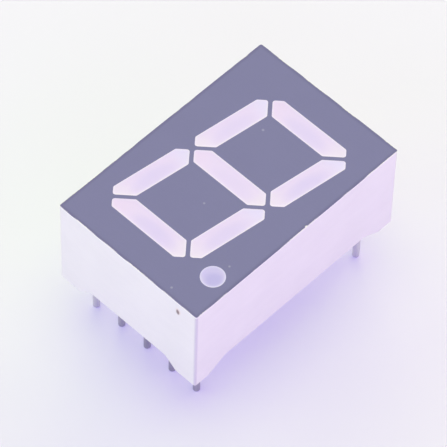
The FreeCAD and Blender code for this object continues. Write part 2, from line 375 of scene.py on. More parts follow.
def sun(name, round_deg, up_deg, light):
    """A wide distant lamp. It hangs this far round from the display's near end, and this far up."""
    lamp = bpy.data.lights.new(name, "SUN")
    lamp.energy = max(light)
    lamp.color = [channel / max(light) for channel in light]
    lamp.angle = math.radians(lamp_width)
    holder = added(name, lamp)
    turn, lift = math.radians(round_deg), math.radians(up_deg)
    towards = Vector((math.sin(turn) * math.cos(lift), -math.cos(turn) * math.cos(lift), math.sin(lift)))
    holder.rotation_euler = towards.to_track_quat("Z", "Y").to_euler()


world = bpy.data.worlds.new("studio")
world.use_nodes = True
world.node_tree.nodes["Background"].inputs["Color"].default_value = sky_light
bpy.context.scene.world = world
bpy.context.scene.view_settings.view_transform = "Standard"
for side, (turns, light) in lamp_pairs.items():
    for round_deg in turns:
        sun("%s_lamp_%d" % (side, round_deg), round_deg, ring_up, light)
sun("top_lamp", 0, 90, top_lamp)
print("pairs of lamps", len(lamp_pairs), "and one overhead")

# %% [markdown]
# ## White moulded plastic
# The body is injection moulded in a white filled plastic. Up close it isn't even: the melt leaves faint
# clouds and flow lines, and the polished mould leaves a fine orange peel. The upright edges get a painted
# shade, and a pale band at the top of the walls is a painted highlight of the sharp edge under the ink. A
# Principled shader with a mild gloss is enough, because the plastic is opaque. A brown speck on the end
# wall is a burnt grain in the melt, and it is painted where it lies.

# %% The plastic's tones
plastic_clean = (0.85, 0.83, 0.835, 1.0)
plastic_dull = (0.82, 0.80, 0.81, 1.0)
plastic_highlight = (0.93, 0.92, 0.90, 1.0)
plastic_edge_shade = (0.66, 0.62, 0.70, 1.0)
burnt_core = (0.19, 0.13, 0.14, 1.0)
burnt_halo = (0.80, 0.62, 0.52, 1.0)
burnt_grain = Vector((4.62 * mm, -half_length, 11.06 * mm))
halo_middle = burnt_grain + Vector((0.04, 0, 0.12)) * mm
core_radius, halo_radius = 0.30 * mm, 0.42 * mm
edge_width, edge_core = 0.22 * mm, 0.08 * mm
highlight_height, highlight_core = 0.22 * mm, 0.06 * mm
print("burnt grain at", in_mm(burnt_grain), "mm")

# %% [markdown]
# The upright edges get a painted shade. They are where the sum of the two distances from the middle is
# largest, so one sum finds all four. The near edge is the darkest in the picture, so the painted shade is
# strongest there, and a slow slope towards it keeps the others faint.

# %% The white plastic
def painted_edge_shade(finish):
    """A mask of painted shade along the body's upright edges."""
    furthest = half_width + half_length
    outward = abs(along(finish, (1, 0, 0))) + abs(along(finish, (0, 1, 0)))
    edge = step(finish, outward, furthest - edge_width, furthest - edge_core)
    near_edge = step(finish, along(finish, (1, -1, 0)), 0.0, furthest)
    return edge * (0.3 + 0.7 * near_edge)


def white_plastic():
    finish = Finish("white_plastic", {"Specular IOR Level": 0.35})
    clouds = grain(finish, 3.2, detail=3.0)
    flow = grain(finish, 0.8, stretch=(3, 3, 0.6), distortion=0.4)
    peel = grain(finish, 0.09, detail=3.0)
    tone = blend(finish, step(finish, 0.7 * clouds + 0.3 * flow, 0.3, 0.7), plastic_dull, plastic_clean)
    # The upright edges are darkened with a painted shade.
    tone = blend(finish, painted_edge_shade(finish), tone, plastic_edge_shade)
    # A pale band at the top of the walls, under the ink, is a painted highlight of the sharp top edge.
    top_edge_highlight = step(finish, along(finish, (0, 0, 1)), ink_z - highlight_height, ink_z - highlight_core)
    tone = blend(finish, 0.7 * top_edge_highlight, tone, plastic_highlight)
    halo = near(finish, halo_middle, halo_radius, (1.3, 1, 1))
    tone = blend(finish, 0.4 * halo, tone, burnt_halo)
    core = near(finish, burnt_grain, core_radius, (1.5, 1, 0.85))
    tone = blend(finish, 0.85 * core, tone, burnt_core)
    return surfaced(finish, tone, 0.42 + 0.12 * peel, 0.6 * peel + 0.4 * flow, depth_mm=0.004, strength=0.5)


dress(nodes_in("white_plastic"), white_plastic())

# %% [markdown]
# ## Grey printing ink
# The face is screen printed with a flat grey, so that the unlit windows stand out. Pigment grains and the
# weave of the screen show as a very fine mottle. The squeegee leaves the film a little thicker and darker
# at the outer edge, and there the edge also chips, so white plastic shows through small nicks. Four pale
# dust specks lie on the face. All of that is noise and distance, so it stays on the face from any side.

# %% The ink's tones and marks
ink_dark = (0.168, 0.164, 0.335, 1.0)
ink_light = (0.194, 0.189, 0.372, 1.0)
ink_rim = (0.125, 0.115, 0.26, 1.0)
dust_tone = (0.62, 0.62, 0.75, 1.0)
# The places of the specks across and along the face, and their radii, in millimetres.
dust_specks = [(-1.17, 4.38, 0.13), (0.27, -2.66, 0.11), (4.96, -5.10, 0.11), (3.48, -8.93, 0.12)]
edge_chip = Vector((half_width, 0.72 * mm, face_z))
edge_chip_radius = 0.13 * mm
thick_rim, thick_core = 0.30 * mm, 0.04 * mm
ragged_depth = 0.06 * mm
nick_start, nick_full = -0.002 * mm, 0.006 * mm
print("specks on the ink", len(dust_specks), "and a chip at", in_mm(edge_chip), "mm")

# %% [markdown]
# The face's outline is a rectangle, so the larger of two distances says how far a point is from its edge.
# A fine noise is added to that distance, which makes the nicks ragged, and coarse clouds keep them in
# groups.

# %% The ink
def beyond_edge(finish):
    """How far a point lies outside the face in metres. It is negative on the face."""
    side = abs(along(finish, (1, 0, 0))) - half_width
    end = abs(along(finish, (0, 1, 0))) - half_length
    return side.maths("MAXIMUM", side, end)


def nicks_in_ink(finish, beyond, clouds):
    ragged = grain(finish, 0.10)
    bitten = step(finish, beyond + ragged_depth * ragged, nick_start, nick_full)
    nicks = bitten * step(finish, clouds, 0.45, 0.6) + near(finish, edge_chip, edge_chip_radius)
    return nicks.maths("MINIMUM", nicks, 1.0)


def grey_ink():
    finish = Finish("grey_ink", {"Specular IOR Level": 0.3})
    mottle = grain(finish, 0.12, detail=4.0)
    clouds = grain(finish, 2.4)
    weave = grain(finish, 0.3, detail=1.0, stretch=(6, 0.4, 1))
    tone = blend(finish, 0.5 * mottle + 0.35 * clouds + 0.15 * weave, ink_dark, ink_light)
    beyond = beyond_edge(finish)
    tone = blend(finish, 0.55 * step(finish, beyond, -thick_rim, -thick_core), tone, ink_rim)
    tone = blend(finish, nicks_in_ink(finish, beyond, clouds), tone, plastic_clean)
    for x, y, radius in dust_specks:
        speck = near(finish, (x * mm, y * mm, face_z), radius * mm)
        tone = blend(finish, 0.25 * speck, tone, dust_tone)
    film = 0.7 * mottle + 0.3 * weave
    return surfaced(finish, tone, 0.55 + 0.15 * mottle, film, depth_mm=0.003, strength=0.6)


dress(nodes_in("grey_ink"), grey_ink())

# %% [markdown]
# ## Milky window resin
# Each well is filled with an epoxy that is loaded with a white diffuser. The light that enters it comes
# back pale, but it dims where the dark opening over the chip lies under the resin, and that shade is
# painted on: under a bar it is a long violet patch near the middle. Towards the ends, where the white
# wall of the well is close, the wall's light is painted as a change of tint: one end is warmer, and the
# other is pinker or bluer. Each window gets its own finish with its own directions, because a patch
# follows its own well.

# %% The resin's tones
resin_clean = (0.745, 0.635, 0.93, 1.0)
resin_dull = (0.705, 0.60, 0.90, 1.0)
resin_warm = (0.765, 0.69, 0.895, 1.0)
resin_pink = (0.75, 0.61, 0.89, 1.0)
resin_blue = (0.69, 0.655, 0.97, 1.0)
resin_well_shade = (0.635, 0.55, 0.90, 1.0)
resin_rim_highlight = (0.80, 0.73, 0.95, 1.0)

slant = math.radians(8.0)
across_way = Vector((1, 0, 0))
upright_way = Vector((-math.sin(slant), -math.cos(slant), 0))
window_ways = {"segment_" + bar: across_way if bar in "adg" else upright_way for bar in "abcdefg"}
print("bars that lie across", list(window_ways.values()).count(across_way), "of", len(window_ways))

# %% [markdown]
# The patch of painted shade is a soft ellipse, made from the distances along the bar and across it. How
# strong it is and where it lies were matched to the picture bar by bar, and all of them lie a little
# towards the body's near corner.

# %% Where the patches lie
patch_shares = {"a": 0.65, "b": 0.8, "c": 0.7, "d": 0.8, "e": 0.7, "f": 0.5, "g": 0.3}
patch_slides = {"a": -0.2, "b": -0.2, "c": -0.2, "d": 0.2, "e": -0.2, "f": -0.2, "g": 0.2}
patch_drift = Vector((0.30, -0.32, 0)) * mm
patch_length, patch_width = 2.3 * mm, 0.95 * mm
# How far from a bar's middle the tint of each end begins and is full, and how far clouds shift that.
near_start, near_full = 1.6 * mm, 3.4 * mm
far_start, far_full = 1.5 * mm, 3.2 * mm
cloud_shift = 0.6 * mm


def middle_of(node):
    """The middle of a piece's top."""
    low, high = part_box(node)
    middle = (low + high) / 2
    middle.z = high.z
    return middle


def bell(finish, middle, way):
    """1 in the middle of a long soft patch of painted shade that lies along a direction, and 0 outside it.
    """
    side_way = (-way.y, way.x, 0)
    length = along(finish, way, middle) / patch_length
    width = along(finish, side_way, middle) / patch_width
    return 1 - step(finish, length * length + width * width, 0.0, 1.0)


print("drift of the patches", in_mm(patch_drift), "mm")

# %% [markdown]
# Where the resin creeps up the wall of its well it is thin, and the finish paints it paler there as a
# highlight of the rim. The rim attribute says where that is: it is 1 at the wall and 0 in the flat
# middle, and it is written on the windows' meshes further down.

# %% The resin of one window
def rim_of(finish):
    return finish.node("ShaderNodeAttribute", {"attribute_name": "rim"}, {}, "Fac")


def window_resin(node):
    finish = Finish("resin_" + node, {"Specular IOR Level": 0.4})
    bar, middle, way = node[-1], middle_of(node), window_ways[node]
    clouds = grain(finish, 0.9, detail=3.0)
    filler = grain(finish, 0.14, detail=3.0)
    tone = blend(finish, 0.6 * clouds + 0.4 * filler, resin_dull, resin_clean)
    length = along(finish, way, middle)
    # The ends are painted with tints that stand for light thrown back by the well's white wall.
    near_end = step(finish, length + cloud_shift * clouds, near_start, near_full)
    tone = blend(finish, 0.75 * near_end, tone, resin_warm)
    far_end = step(finish, cloud_shift * clouds - length, far_start, far_full)
    tone = blend(finish, 0.6 * far_end, tone, resin_pink if way == across_way else resin_blue)
    # The dark opening under the resin is painted as a violet patch of shade.
    patch = bell(finish, middle + patch_drift + way * patch_slides[bar] * mm, way)
    tone = blend(finish, patch_shares[bar] * patch * (0.7 + 0.6 * clouds), tone, resin_well_shade)
    # The rim is painted paler, a painted highlight along the window's outline.
    tone = blend(finish, 0.8 * rim_of(finish), tone, resin_rim_highlight)
    height = 0.7 * clouds + 0.3 * filler
    return surfaced(finish, tone, 0.36 + 0.12 * filler, height, depth_mm=0.01, strength=0.3)


for node in window_ways:
    dress([node], window_resin(node))

# %% [markdown]
# The decimal point is a small round well, so its resin is painted darker all over as the shade of that
# well, and the painted shade of the dark opening over its chip is round too.

# %% The resin of the decimal point
dot_dull = (0.53, 0.48, 0.83, 1.0)
dot_clean = (0.58, 0.52, 0.87, 1.0)
dot_shade_pool = (0.44, 0.40, 0.78, 1.0)
dot_rim_highlight = (0.69, 0.66, 0.93, 1.0)
pool_drift = Vector((0.24, -0.16, 0)) * mm
pool_radius = 0.85 * mm


def dot_resin():
    finish = Finish("resin_decimal_point", {"Specular IOR Level": 0.4})
    clouds = grain(finish, 0.5, detail=3.0)
    filler = grain(finish, 0.12, detail=3.0)
    tone = blend(finish, clouds, dot_dull, dot_clean)
    # The dark opening over the chip is painted as a round pool of shade.
    pool = near(finish, middle_of("decimal_point") + pool_drift, pool_radius)
    tone = blend(finish, 0.8 * pool, tone, dot_shade_pool)
    # The rim gets the same painted highlight as the windows.
    tone = blend(finish, 0.8 * rim_of(finish), tone, dot_rim_highlight)
    height = 0.7 * clouds + 0.3 * filler
    return surfaced(finish, tone, 0.36 + 0.12 * filler, height, depth_mm=0.01, strength=0.3)


dress(["decimal_point"], dot_resin())

# %% [markdown]
# ## Tinned pins
# The pins are drawn wire, dipped in tin. Drawing leaves fine lines along the pin, and the dip leaves a
# soft uneven skin that dulls where fingers and the tube have rubbed it. Metal gets its colour from what
# it mirrors, so lines and skin drive its tint and its relief, and the skin its roughness. Each pin also
# has a share of pale tin mixed in, a painted sheen that stands for how much light that pin mirrors.

# %% The tinned pins
tin_dark = (0.32, 0.305, 0.365, 1.0)
tin_grey = (0.49, 0.475, 0.535, 1.0)
tin_rubbed = (0.60, 0.58, 0.64, 1.0)
tin_sheen = (0.85, 0.83, 0.90, 1.0)
sheen_shares = {"pin_1": 0.54, "pin_2": 0.14, "pin_3": 0.0, "pin_4": 0.0, "pin_5": 0.1, "pin_6": 0.6}
hidden_sheen_share = 0.3


def tinned_pin(node):
    finish = Finish("tin_" + node, {"Metallic": 1.0, "Specular IOR Level": 0.5})
    streaks = grain(finish, 0.05, detail=3.0, stretch=(1, 1, 14))
    skin = grain(finish, 0.35, detail=3.0)
    tone = blend(finish, 0.5 * streaks + 0.5 * skin, tin_dark, tin_grey)
    tone = blend(finish, step(finish, skin, 0.62, 0.74), tone, tin_rubbed)
    # A painted sheen: a share of pale tin that stands for the light each pin mirrors.
    tone = blend(finish, sheen_shares.get(node, hidden_sheen_share), tone, tin_sheen)
    height = 0.7 * streaks + 0.3 * skin
    return surfaced(finish, tone, 0.3 + 0.25 * skin, height, depth_mm=0.008, strength=0.6)


for node in nodes_in("tinned_pin"):
    dress([node], tinned_pin(node))

# %% [markdown]
# ## The resin at the back
# A second epoxy is poured over the back of the board, to hold the pins and seal the display. It is the
# same resin with less diffuser, so it is duller and slightly yellow. Trapped air leaves small pits, and a
# Voronoi texture scatters them, because each of its cells has one middle. Its glassy top skin is a clear
# coat.

# %% The back resin
back_dull = (0.46, 0.43, 0.40, 1.0)
back_clean = (0.57, 0.54, 0.51, 1.0)
back_pit = (0.30, 0.28, 0.26, 1.0)
pit_pitch = 0.9 * mm


def back_resin():
    finish = Finish("back_resin", {"Specular IOR Level": 0.5, "Coat Roughness": 0.12})
    clouds = grain(finish, 2.6, detail=3.0, distortion=0.5)
    haze = grain(finish, 0.5)
    tone = blend(finish, 0.7 * clouds + 0.3 * haze, back_dull, back_clean)
    inputs = {"Vector": finish.place, "Scale": 1 / pit_pitch}
    cells = finish.node("ShaderNodeTexVoronoi", {"feature": "F1"}, inputs, "Distance")
    pit = (1 - step(finish, cells, 0.05, 0.12)) * step(finish, clouds, 0.5, 0.62)
    tone = blend(finish, 0.5 * pit, tone, back_pit)
    finish.drive({"Coat Weight": 0.3 + 0.4 * clouds})
    return surfaced(finish, tone, 0.24 + 0.2 * haze, 0.6 * clouds - 0.4 * pit, depth_mm=0.02, strength=0.5)


dress(nodes_in("back_resin"), back_resin())

# %% [markdown]
# ## The board's laminate
# The board and all that it carries can't be seen in a whole display, but each is a piece of its own and
# is looked at when the model is taken apart. The board is glass cloth soaked in resin. Two sines at right
# angles give the weave, and a long fine grain gives the fibres.

# %% The laminate
laminate_dark = (0.30, 0.27, 0.10, 1.0)
laminate_light = (0.52, 0.47, 0.22, 1.0)
thread_pitch = 0.5 * mm


def threads(finish, way):
    """Bands of a weave: 1 in the middle of a thread and 0 between two threads."""
    turn = along(finish, way) * (math.pi / thread_pitch)
    return abs(turn.maths("SINE", turn))


def board_laminate():
    finish = Finish("board_laminate", {"Specular IOR Level": 0.5})
    weave = threads(finish, (1, 0, 0)) * threads(finish, (0, 1, 0))
    fibre = grain(finish, 0.08, detail=3.0, stretch=(1, 4, 1))
    cloth = 0.5 * weave + 0.5 * fibre
    tone = blend(finish, cloth, laminate_dark, laminate_light)
    return surfaced(finish, tone, 0.35 + 0.25 * fibre, cloth, depth_mm=0.015, strength=0.5)


dress(nodes_in("board_laminate"), board_laminate())

# %% [markdown]
# ## Copper
# The tracks are rolled foil that was etched. Rolling leaves lines one way, and a brown tarnish starts in
# patches, where the metal is also rougher. So one mask drives both the stain's colour and the roughness.

# %% The copper
copper_bright = (0.93, 0.48, 0.31, 1.0)
copper_brown = (0.55, 0.25, 0.16, 1.0)


def copper():
    finish = Finish("copper", {"Metallic": 1.0})
    tarnish = grain(finish, 0.7, detail=4.0, distortion=0.6)
    rolled = grain(finish, 0.05, stretch=(1, 18, 1))
    stain = step(finish, tarnish, 0.42, 0.66)
    tone = blend(finish, stain, copper_bright, copper_brown)
    return surfaced(finish, tone, 0.22 + 0.3 * stain, rolled, depth_mm=0.004, strength=0.5)


dress(nodes_in("copper"), copper())

# %% [markdown]
# ## Chips and bond wires
# A chip is a dark crystal. The saw leaves level lines on its sides, and its top carries gold, so the
# colour and the metal change with height. The bond wire is drawn gold, bright and almost even.

# %% The chips and their wires
chip_dark = (0.10, 0.07, 0.06, 1.0)
chip_light = (0.22, 0.15, 0.11, 1.0)
chip_gold = (0.42, 0.26, 0.12, 1.0)
chip_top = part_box("led_chip_a")[1].z
gold_depth = 0.01 * mm
wire_deep = (0.86, 0.55, 0.20, 1.0)
wire_gold = (1.0, 0.74, 0.34, 1.0)


def chip():
    finish = Finish("chip", {"Specular IOR Level": 0.6})
    sawn = grain(finish, 0.02, stretch=(8, 8, 0.5))
    grit = grain(finish, 0.05, detail=3.0)
    top = step(finish, along(finish, (0, 0, 1)), chip_top - gold_depth, chip_top)
    tone = blend(finish, grit, chip_dark, chip_light)
    tone = blend(finish, 0.8 * top, tone, chip_gold)
    finish.drive({"Metallic": 0.4 * top})
    return surfaced(finish, tone, 0.3 + 0.3 * grit, 0.6 * sawn + 0.4 * grit, depth_mm=0.003, strength=0.6)


def bond_wire():
    finish = Finish("bond_wire", {"Metallic": 1.0})
    drawn = grain(finish, 0.012, stretch=(5, 5, 1))
    tone = blend(finish, drawn, wire_deep, wire_gold)
    return surfaced(finish, tone, 0.16 + 0.16 * drawn, drawn, depth_mm=0.002, strength=0.5)


dress(nodes_in("chip"), chip())
dress(nodes_in("bond_wire"), bond_wire())

# %% [markdown]
# ## Solder
# Solder freezes bright, with dull frosted islands where its crystals came to the surface. A distorted
# noise has that shape, and its steep middle part is the edge of an island.

# %% The solder
solder_bright = (0.72, 0.71, 0.72, 1.0)
solder_dull = (0.48, 0.47, 0.49, 1.0)


def solder():
    finish = Finish("solder", {"Metallic": 1.0})
    frost = grain(finish, 0.12, detail=4.0, distortion=0.8)
    dull = step(finish, frost, 0.46, 0.62)
    tone = blend(finish, dull, solder_bright, solder_dull)
    return surfaced(finish, tone, 0.18 + 0.35 * dull, frost, depth_mm=0.01, strength=0.6)


dress(nodes_in("solder"), solder())
print("pieces still without a finish", [node for node in slots if node not in dressing])

# %% [markdown]
# ## Finer pieces from the nodes
# Some pieces need more than a finish: a rounded edge that catches light, a dished surface. The finer
# piece starts from the node's own mesh, welded and with its triangles joined to whole faces, so it keeps
# the size and place of the node that it stands for. A bevel or an inset then does the rest.

# %% Weld a node and set a piece
weld_gap = 0.0005 * mm
flat_limit = math.radians(1)


def welded(node):
    work = bmesh.new()
    work.from_mesh(frame["nodes"][node].data)
    bmesh.ops.remove_doubles(work, verts=work.verts[:], dist=weld_gap)
    bmesh.ops.dissolve_limit(work, angle_limit=flat_limit, verts=work.verts[:], edges=work.edges[:])
    return work


def set_piece(work, node, sharp_deg=32):
    mesh = bpy.data.meshes.new("fine_" + node)
    work.to_mesh(mesh)
    work.free()
    mesh.polygons.foreach_set("use_smooth", [True] * len(mesh.polygons))
    mesh.set_sharp_from_angle(angle=math.radians(sharp_deg))
    mesh.materials.append(dressing[node])
    piece = added("fine_" + node, mesh)
    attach(piece, "root")
    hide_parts(node)
    return piece


print("faces of the body as it was loaded", len(frame["nodes"]["housing"].data.polygons))

# %% [markdown]
# ## The windows' surfaces
# Poured resin is never flat to the edge. It climbs the wall of its well by surface tension and sinks a
# little as it cures, so each window is a shallow dish whose rim catches the light as a thin pale outline.
# The top face is inset ring by ring, and each ring sits a few thousandths of a millimetre lower. The rim
# attribute fades from 1 to 0 over the same rings, for the finish.

# %% A ring of a dish
# How far in and how far down each ring lies, in millimetres, and its share of rim.
rings = [(0.04, 0.004, 0.8), (0.09, 0.009, 0.4), (0.16, 0.015, 0.1), (0.26, 0.020, 0.0), (0.42, 0.024, 0.0)]


def ring_of(work, outline, middle, way, inset, drop):
    """New vertices like the outline, drawn in towards the middle of the window and lowered."""
    side_way = Vector((-way.y, way.x, 0))
    offsets = [vert.co - middle for vert in outline]
    reach = max(abs(offset.dot(way)) for offset in offsets)
    width = max(abs(offset.dot(side_way)) for offset in offsets)
    made = []
    for offset in offsets:
        length = offset.dot(way) * (1 - inset / reach)
        across = offset.dot(side_way) * (1 - inset / width)
        made.append(work.verts.new(middle + way * length + side_way * across - Vector((0, 0, drop))))
    return made


print("rings in a dish", len(rings))

# %% [markdown]
# The top face is taken out, each ring is joined to the one before it, and the last ring is closed by one
# face. The sides and the bottom of the window stay the node's own.

# %% Dish the windows
def dished_window(node):
    work = welded(node)
    rim = work.verts.layers.float.new("rim")
    top = max(work.faces, key=lambda face: face.calc_center_median().z)
    outline = list(top.verts)
    middle, way = middle_of(node), window_ways.get(node, across_way)
    bmesh.ops.delete(work, geom=[top], context="FACES_ONLY")
    for vert in outline:
        vert[rim] = 1.0
    before = outline
    for inset, drop, share in rings:
        ring = ring_of(work, outline, middle, way, inset * mm, drop * mm)
        for i, vert in enumerate(ring):
            vert[rim] = share
            work.faces.new((before[i - 1], before[i], vert, ring[i - 1]))
        before = ring
    work.faces.new(before)
    bmesh.ops.recalc_face_normals(work, faces=work.faces[:])
    return set_piece(work, node)


for node in list(window_ways) + ["decimal_point"]:
    piece = dished_window(node)
    print(piece.name, "faces", len(piece.data.polygons))

# %% [markdown]
# ## Rounded edges of the body
# A mould can't make a razor edge. The four upright corners are round in the CAD model already. The feet
# and the cut-back walls between them get a bevel of a few hundredths of a millimetre, so their edges draw
# a thin line as moulded plastic does. The edges at the face stay sharp, because the ink lies on them.

# %% Bevel the body's lower edges
edge_bevel = 0.06 * mm
relief_top = seat_z + 0.9 * mm
sharp_edge = math.radians(20)


def moulded_body():
    work = welded("housing")
    picked = []
    for edge in work.edges:
        low_enough = all(vert.co.z < relief_top for vert in edge.verts)
        if low_enough and len(edge.link_faces) == 2 and edge.calc_face_angle() > sharp_edge:
            picked.append(edge)
    bmesh.ops.bevel(work, geom=picked, offset=edge_bevel, segments=3, profile=0.5, affect="EDGES")
    for vert in work.verts:
        vert.co.x = max(body_low.x, min(body_high.x, vert.co.x))
        vert.co.y = max(body_low.y, min(body_high.y, vert.co.y))
    print("edges rounded", len(picked))
    return set_piece(work, "housing")


body = moulded_body()
print(body.name, "faces", len(body.data.polygons))

# %% [markdown]
# ## The pins as they stand
# The wire is cropped, which rounds the rim of its tip, and handling has set each leg over. In the picture
# the lower parts of the pins stand upright, but up to half a millimetre off their true pitch. So each leg
# leaves the body on the grid, is set over in a soft double bend as it comes down, and runs straight in
# its lower part. The four pins that the picture hides get small offsets of the same kind.

# %% How the pins are set over
tip_round = 0.09 * mm
# Heights of the cuts that let a pin bend, as shares of the seat's height.
bend_levels = (0.97, 0.89, 0.81, 0.73, 0.65, 0.57, 0.49, 0.42)
# How far each pin's lower part is set over across and along the body, in millimetres.
tip_leans = {
    "pin_1": (0.18, 0.08),
    "pin_2": (-0.03, 0.18),
    "pin_3": (-0.10, 0.14),
    "pin_4": (-0.16, 0.02),
    "pin_5": (-0.43, 0.03),
    "pin_6": (-0.40, 0.32),
    "pin_7": (-0.12, -0.06),
    "pin_8": (0.04, 0.05),
    "pin_9": (0.10, -0.08),
    "pin_10": (0.18, -0.05),
}
furthest_lean = max(math.hypot(*lean) for lean in tip_leans.values())
print("the furthest pin is set over by", round(furthest_lean, 2), "mm")

# %% [markdown]
# The pin is cut across at some heights first, because a long straight face can't bend. Then every point
# moves sideways by a share of the pin's offset, and the share is a smooth step of its height.

# %% Round the tips and bend the pins
tip_band = 0.01 * mm


def lean_at(height):
    """The share of its offset that a pin has at this height: 0 above the bend and 1 below it."""
    top, bottom = bend_levels[0], bend_levels[-1]
    share = max(0.0, min(1.0, (top - height / seat_z) / (top - bottom)))
    return share * share * (3 - 2 * share)


def standing_pin(node):
    work = welded(node)
    tip = [edge for edge in work.edges if all(vert.co.z < tip_band for vert in edge.verts)]
    bmesh.ops.bevel(work, geom=tip, offset=tip_round, segments=3, profile=0.5, affect="EDGES")
    for share in bend_levels:
        everything = work.verts[:] + work.edges[:] + work.faces[:]
        cut = Vector((0, 0, seat_z * share))
        bmesh.ops.bisect_plane(work, geom=everything, plane_co=cut, plane_no=(0, 0, 1))
    lean_x, lean_y = tip_leans[node]
    for vert in work.verts:
        share = lean_at(vert.co.z)
        vert.co.x += lean_x * mm * share
        vert.co.y += lean_y * mm * share
    return set_piece(work, node)


for node in tip_leans:
    piece = standing_pin(node)
print("pins", len(tip_leans), "faces each", len(piece.data.polygons))

# %% [markdown]
# ## The poured back
# Seen from below, the resin isn't a flat sheet: it creeps up the walls and the pins, and its skin is a
# little wavy. The new piece starts as a block whose back is a fine grid. Each point of the grid stands
# out by how near it is to a wall or a pin, with a falling exponential, which is the shape that surface
# tension gives.

# %% The height of the poured skin
wall_creep, wall_reach = 0.22, 0.35
pin_creep, pin_reach = 0.16, 0.2
pin_radius = 0.25
wave_height = 0.012
wave_turns, wave_starts = (0.9, 0.7), (0.6, 1.1)


def middles_of(nodes):
    boxes = [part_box(node) for node in nodes]
    return [((low.x + high.x) / 2, (low.y + high.y) / 2) for low, high in boxes]


def poured_height(x, y, low, high, pins):
    """How far the resin stands out of its level at a point, in metres."""
    wall_gap = min(x - low.x, high.x - x, y - low.y, high.y - y) / mm
    pin_gap = min(math.hypot(x - px, y - py) for px, py in pins) / mm - pin_radius
    wall = wall_creep * math.exp(-wall_gap / wall_reach)
    pin = pin_creep * math.exp(-max(0.0, pin_gap) / pin_reach)
    wave_x = math.sin(x / mm * wave_turns[0] + wave_starts[0])
    wave_y = math.sin(y / mm * wave_turns[1] + wave_starts[1])
    return mm * (wall + pin + wave_height * wave_x * wave_y)


print("creep at a wall", wall_creep, "mm, at a pin", pin_creep, "mm")

# %% [markdown]
# The walls of the hollow have draft, so the block's sides follow two heights of the CAD solid. Its points
# are laid out in rows: a row of the wavy back, and the two ends of the same row on the flat front.

# %% The rows of the block
grid_step = 0.15 * mm
front_band = 0.001 * mm


def points_between(node, low_z, high_z):
    """The points of a node's mesh between two heights."""
    points = [vert.co for vert in frame["nodes"][node].data.vertices]
    return [point for point in points if low_z < point.z < high_z]


def resin_walls(z):
    """Half the width and length of the hollow at a height, from the CAD solid's back and front."""
    low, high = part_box("potting_resin")
    points = points_between("potting_resin", high.z - front_band, math.inf)
    front = max(abs(point.x) for point in points), max(abs(point.y) for point in points)
    share = (z - low.z) / (high.z - low.z)
    return high.x + (front[0] - high.x) * share, high.y + (front[1] - high.y) * share


def resin_rows(work):
    """The points of the wavy back and of the flat front, row by row."""
    low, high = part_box("potting_resin")
    across, down = round((high.x - low.x) / grid_step), round((high.y - low.y) / grid_step)
    pins = middles_of(tip_leans)
    front_x, front_y = resin_walls(high.z)
    back_x, back_y = resin_walls(low.z - wall_creep * mm)
    back_rows, front_rows = [], []
    for j in range(down + 1):
        up_share = 2 * j / down - 1
        row = []
        for i in range(across + 1):
            side_share = 2 * i / across - 1
            height = poured_height(side_share * high.x, up_share * high.y, low, high, pins)
            row.append(work.verts.new((side_share * back_x, up_share * back_y, low.z - height)))
        back_rows.append(row)
        ends = [(side * front_x, up_share * front_y, high.z) for side in (-1, 1)]
        front_rows.append([work.verts.new(end) for end in ends])
    return back_rows, front_rows


print("half of the hollow at the seat", in_mm(resin_walls(seat_z)), "mm")

# %% [markdown]
# Two neighbouring rows are joined by the grid's faces at the back, a face on each side and one at the
# front. Four points of a wavy skin don't lie in one plane, so the faces are split into triangles before
# anything is cut out of them.

# %% The block of resin
def resin_block():
    work = bmesh.new()
    back_rows, front_rows = resin_rows(work)
    for j in range(len(back_rows) - 1):
        first, second = back_rows[j], back_rows[j + 1]
        for i in range(len(first) - 1):
            work.faces.new((first[i], second[i], second[i + 1], first[i + 1]))
        for side, (start, end) in enumerate(zip(front_rows[j], front_rows[j + 1])):
            work.faces.new((first[-side], start, end, second[-side]))
        work.faces.new(front_rows[j] + front_rows[j + 1][::-1])
    work.faces.new(back_rows[0] + front_rows[0][::-1])
    work.faces.new(back_rows[-1] + front_rows[-1][::-1])
    bmesh.ops.recalc_face_normals(work, faces=work.faces[:])
    bmesh.ops.triangulate(work, faces=work.faces[:])
    mesh = bpy.data.meshes.new("resin_block")
    work.to_mesh(mesh)
    work.free()
    return added("resin_block", mesh)


block = resin_block()
print(block.name, "faces", len(block.data.polygons))

# %% [markdown]
# The resin was poured round things that were there already, so the block must have their shapes as
# hollows: the board, the flattened stops of the pins and the ends of the two posts. Each hollow is the
# convex hull of points read from the piece that it stands for, drawn on past the board's face so that no
# two faces lie in one plane.

# %% The hollows
past_face, past_board = 0.1 * mm, 1 * mm
stop_clear, stop_half_length = 0.04 * mm, 0.17 * mm
post_low, post_high = 0.3 * mm, 0.2 * mm
posts_reach = 3 * mm


def hull_of(points, name):
    work = bmesh.new()
    for point in points:
        work.verts.new(point)
    made = bmesh.ops.convex_hull(work, input=work.verts[:])
    inside = [piece for piece in made["geom_interior"] if isinstance(piece, bmesh.types.BMVert)]
    bmesh.ops.delete(work, geom=inside, context="VERTS")
    bmesh.ops.recalc_face_normals(work, faces=work.faces[:])
    mesh = bpy.data.meshes.new(name)
    work.to_mesh(mesh)
    work.free()
    return mesh


def raised(points, z):
    """The points of an outline, with a copy of each at another height."""
    return list(points) + [Vector((point.x, point.y, z)) for point in points]


